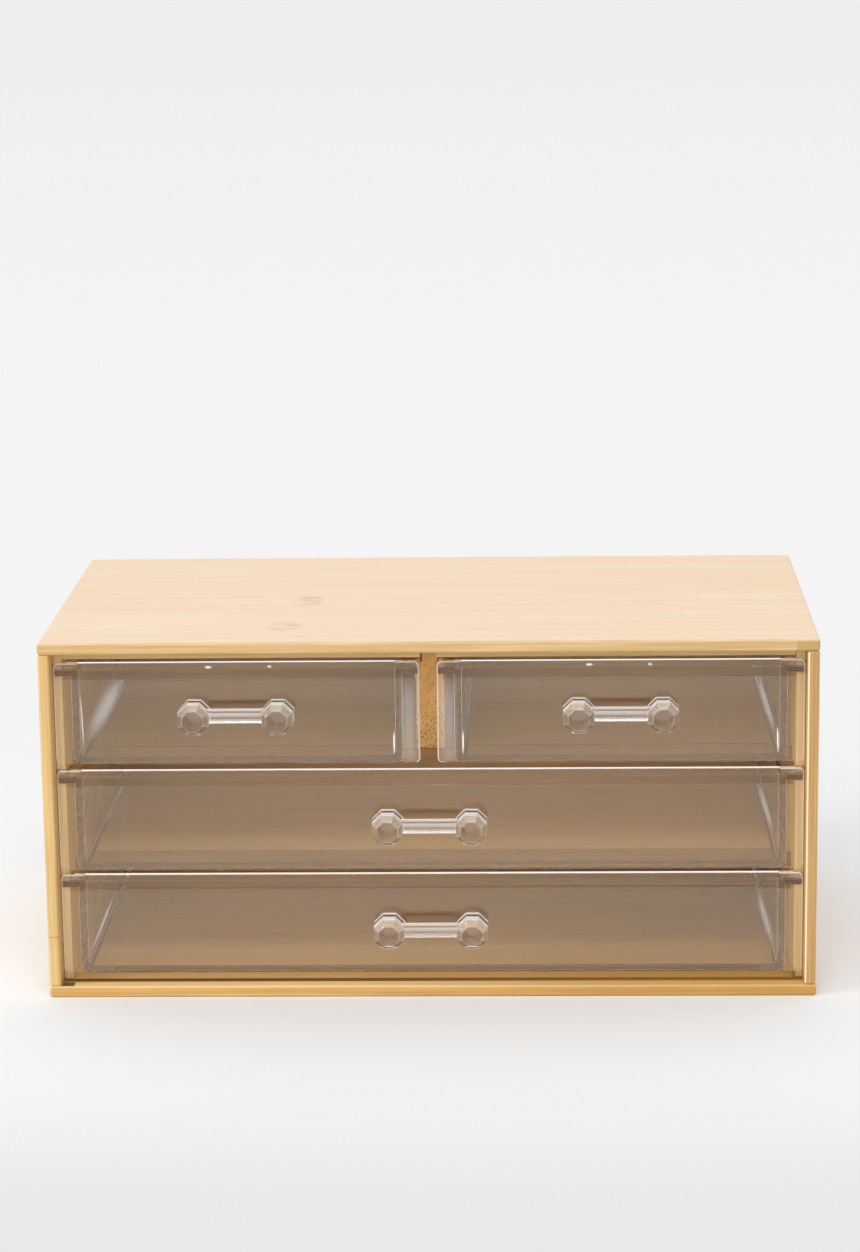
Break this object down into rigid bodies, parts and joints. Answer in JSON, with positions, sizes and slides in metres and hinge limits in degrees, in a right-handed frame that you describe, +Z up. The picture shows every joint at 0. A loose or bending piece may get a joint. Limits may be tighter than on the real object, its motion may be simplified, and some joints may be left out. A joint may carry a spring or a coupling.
{
  "type": "makeup drawer organizer",
  "caption": "Tabletop bamboo case with clear plastic drawers, small ones over wide ones, each hung by side flanges on runner strips and pulled out by a faceted bar handle.",
  "frame": {"origin": "on the ground, under the middle of the whole object with its handles", "axes": "+X to the right along the long side, +Y to the back, +Z up; the drawers pull out along -Y"},
  "size_m": [0.32, 0.1796, 0.152],
  "materials": {
    "bamboo": "satin lacquer",
    "bamboo_end_grain": "satin",
    "clear_plastic": "polished clear"
  },
  "bodies": {
    "case": {"top_panel": "bamboo", "bottom_panel": "bamboo", "left_side_panel": "bamboo", "right_side_panel": "bamboo", "back_panel": "bamboo", "lower_shelf": "bamboo", "upper_shelf": "bamboo", "center_divider": "bamboo_end_grain", "lower_runner_left": "bamboo", "middle_runner_left": "bamboo", "upper_runner_left": "bamboo", "top_runner_left": "bamboo", "top_rail_left": "bamboo", "lower_runner_right": "bamboo", "middle_runner_right": "bamboo", "upper_runner_right": "bamboo", "top_runner_right": "bamboo", "top_rail_right": "bamboo"},
    "upper_left_drawer": {"upper_left_drawer_front": "clear_plastic", "upper_left_drawer_tray": "clear_plastic", "upper_left_drawer_handle": "clear_plastic"},
    "upper_right_drawer": {"upper_right_drawer_front": "clear_plastic", "upper_right_drawer_tray": "clear_plastic", "upper_right_drawer_handle": "clear_plastic"},
    "middle_drawer": {"middle_drawer_front": "clear_plastic", "middle_drawer_tray": "clear_plastic", "middle_drawer_handle": "clear_plastic"},
    "lower_drawer": {"lower_drawer_front": "clear_plastic", "lower_drawer_tray": "clear_plastic", "lower_drawer_handle": "clear_plastic"}
  },
  "joints": [
    {"name": "upper_left_drawer_slide", "type": "slide", "parent": "case", "child": "upper_left_drawer", "axis": [0, -1, 0], "range_m": [0, 0.115]},
    {"name": "upper_right_drawer_slide", "type": "slide", "parent": "case", "child": "upper_right_drawer", "axis": [0, -1, 0], "range_m": [0, 0.115]},
    {"name": "middle_drawer_slide", "type": "slide", "parent": "case", "child": "middle_drawer", "axis": [0, -1, 0], "range_m": [0, 0.115]},
    {"name": "lower_drawer_slide", "type": "slide", "parent": "case", "child": "lower_drawer", "axis": [0, -1, 0], "range_m": [0, 0.115]}
  ]
}
